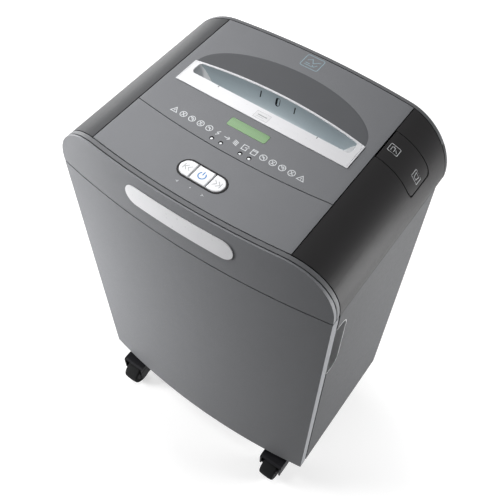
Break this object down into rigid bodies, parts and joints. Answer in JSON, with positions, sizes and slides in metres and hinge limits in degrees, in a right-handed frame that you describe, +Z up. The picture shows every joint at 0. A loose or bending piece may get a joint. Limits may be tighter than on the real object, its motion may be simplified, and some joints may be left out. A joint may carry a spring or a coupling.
{
  "type": "paper shredder",
  "caption": "Tall office paper shredder on swivel casters: bowed swing door over a waste bin, rounded head with feed slot, display, keys, cutters and gear train.",
  "frame": {"origin": "on the floor under the middle of the whole object", "axes": "+Z up, front (door and controls) towards -Y, +X to the right seen from the front"},
  "size_m": [0.45, 0.3522, 0.7266],
  "materials": {
    "charcoal_shell": "satin charcoal ABS, fine moulded grain",
    "dark_shell": "darker satin charcoal ABS",
    "satin_panel": "satin grey metallic paint on ABS",
    "pale_trim": "semi-gloss pale silver",
    "throat_plastic": "matt blue-grey",
    "lcd": "green display window",
    "clear_guide": "clear light guide",
    "button_plastic": "white satin keys",
    "black_plastic": "black moulded nylon",
    "wheel_rubber": "dark grey tread",
    "bin_plastic": "black polypropylene",
    "zinc_steel": "zinc-plated sheet",
    "cutter_steel": "hardened oiled steel",
    "circuit_board": "solder-masked glass epoxy"
  },
  "bodies": {
    "root": {"base_board": "black_plastic", "left_side_panel": "charcoal_shell", "right_side_panel": "charcoal_shell", "back_panel": "charcoal_shell", "waste_bin": "bin_plastic", "door_magnet": "black_plastic", "door_switch": "black_plastic", "head_chassis": "black_plastic", "left_shoulder": "charcoal_shell", "right_shoulder": "dark_shell", "front_band": "charcoal_shell", "front_fascia": "satin_panel", "control_panel": "satin_panel", "feed_panel": "satin_panel", "rear_cover": "dark_shell", "feed_bezel": "pale_trim", "feed_throat": "throat_plastic", "lcd_window": "lcd", "led_light_guide": "clear_guide", "button_surround": "dark_shell", "badge_plate": "pale_trim", "control_board": "circuit_board", "display_board": "circuit_board", "mains_inlet": "black_plastic", "mains_switch_body": "black_plastic", "front_stripper_comb": "black_plastic", "rear_stripper_comb": "black_plastic", "left_cutter_plate": "zinc_steel", "right_cutter_plate": "zinc_steel", "gearbox_cover": "zinc_steel", "drive_motor": "cutter_steel", "front_left_caster_plate": "zinc_steel", "front_right_caster_plate": "zinc_steel", "rear_left_caster_plate": "zinc_steel", "rear_right_caster_plate": "zinc_steel"},
    "door": {"front_door": "satin_panel", "door_strike": "zinc_steel"},
    "lid": {"compartment_lid": "dark_shell"},
    "reverse_key": {"reverse_button": "button_plastic"},
    "power_key": {"power_button": "button_plastic"},
    "forward_key": {"forward_button": "button_plastic"},
    "rocker": {"mains_rocker": "black_plastic"},
    "rear_cutters": {"rear_cutter_shaft": "cutter_steel", "rear_sync_gear": "cutter_steel", "drive_gear": "cutter_steel"},
    "front_cutters": {"front_cutter_shaft": "cutter_steel", "front_sync_gear": "cutter_steel"},
    "compound": {"compound_gear": "cutter_steel"},
    "pinion": {"motor_pinion": "cutter_steel"},
    "front_left_swivel": {"front_left_caster_hood": "black_plastic"},
    "front_left_wheel": {"front_left_caster_wheel": "wheel_rubber"},
    "front_right_swivel": {"front_right_caster_hood": "black_plastic"},
    "front_right_wheel": {"front_right_caster_wheel": "wheel_rubber"},
    "rear_left_swivel": {"rear_left_caster_hood": "black_plastic"},
    "rear_left_wheel": {"rear_left_caster_wheel": "wheel_rubber"},
    "rear_right_swivel": {"rear_right_caster_hood": "black_plastic"},
    "rear_right_wheel": {"rear_right_caster_wheel": "wheel_rubber"}
  },
  "joints": [
    {"name": "door_hinge", "type": "hinge", "parent": "root", "child": "door", "pos_m": [-0.2175, -0.13205, 0.36], "axis": [0, 0, 1], "range_deg": [-110, 0]},
    {"name": "lid_hinge", "type": "hinge", "parent": "root", "child": "lid", "pos_m": [0.1597, 0.0812, 0.7215], "axis": [0, -1, 0], "range_deg": [0, 95]},
    {"name": "reverse_press", "type": "slide", "parent": "root", "child": "reverse_key", "axis": [0, 0, -1], "range_m": [0, 0.0015], "stiffness_N_per_m": 400, "springref_m": -0.001},
    {"name": "power_press", "type": "slide", "parent": "root", "child": "power_key", "axis": [0, 0, -1], "range_m": [0, 0.0015], "stiffness_N_per_m": 400, "springref_m": -0.001},
    {"name": "forward_press", "type": "slide", "parent": "root", "child": "forward_key", "axis": [0, 0, -1], "range_m": [0, 0.0015], "stiffness_N_per_m": 400, "springref_m": -0.001},
    {"name": "mains_rock", "type": "hinge", "parent": "root", "child": "rocker", "pos_m": [0.092, 0.16051, 0.672], "axis": [1, 0, 0], "range_deg": [-16, 0]},
    {"name": "rear_cutter_spin", "type": "hinge", "parent": "root", "child": "rear_cutters", "pos_m": [0, 0.06245, 0.672], "axis": [1, 0, 0], "continuous": true},
    {"name": "front_cutter_spin", "type": "hinge", "parent": "root", "child": "front_cutters", "pos_m": [0, 0.02645, 0.672], "axis": [1, 0, 0], "continuous": true},
    {"name": "compound_spin", "type": "hinge", "parent": "root", "child": "compound", "pos_m": [-0.16, 0.09845, 0.672], "axis": [1, 0, 0], "continuous": true},
    {"name": "pinion_spin", "type": "hinge", "parent": "root", "child": "pinion", "pos_m": [-0.16, 0.12995, 0.672], "axis": [1, 0, 0], "continuous": true},
    {"name": "front_left_swivel_turn", "type": "hinge", "parent": "root", "child": "front_left_swivel", "pos_m": [-0.172, -0.11555, 0.06], "axis": [0, 0, 1], "continuous": true},
    {"name": "front_left_wheel_roll", "type": "hinge", "parent": "front_left_swivel", "child": "front_left_wheel", "pos_m": [-0.172, -0.15105, 0.025], "axis": [1, 0, 0], "continuous": true},
    {"name": "front_right_swivel_turn", "type": "hinge", "parent": "root", "child": "front_right_swivel", "pos_m": [0.172, -0.11555, 0.06], "axis": [0, 0, 1], "continuous": true},
    {"name": "front_right_wheel_roll", "type": "hinge", "parent": "front_right_swivel", "child": "front_right_wheel", "pos_m": [0.172, -0.15105, 0.025], "axis": [1, 0, 0], "continuous": true},
    {"name": "rear_left_swivel_turn", "type": "hinge", "parent": "root", "child": "rear_left_swivel", "pos_m": [-0.172, 0.11845, 0.06], "axis": [0, 0, 1], "continuous": true},
    {"name": "rear_left_wheel_roll", "type": "hinge", "parent": "rear_left_swivel", "child": "rear_left_wheel", "pos_m": [-0.172, 0.08295, 0.025], "axis": [1, 0, 0], "continuous": true},
    {"name": "rear_right_swivel_turn", "type": "hinge", "parent": "root", "child": "rear_right_swivel", "pos_m": [0.172, 0.11845, 0.06], "axis": [0, 0, 1], "continuous": true},
    {"name": "rear_right_wheel_roll", "type": "hinge", "parent": "rear_right_swivel", "child": "rear_right_wheel", "pos_m": [0.172, 0.08295, 0.025], "axis": [1, 0, 0], "continuous": true}
  ],
  "couplings": [
    {"joint": "front_cutter_spin", "follows": "rear_cutter_spin", "ratio": -1},
    {"joint": "compound_spin", "follows": "rear_cutter_spin", "ratio": -3},
    {"joint": "pinion_spin", "follows": "rear_cutter_spin", "ratio": 9.6}
  ]
}
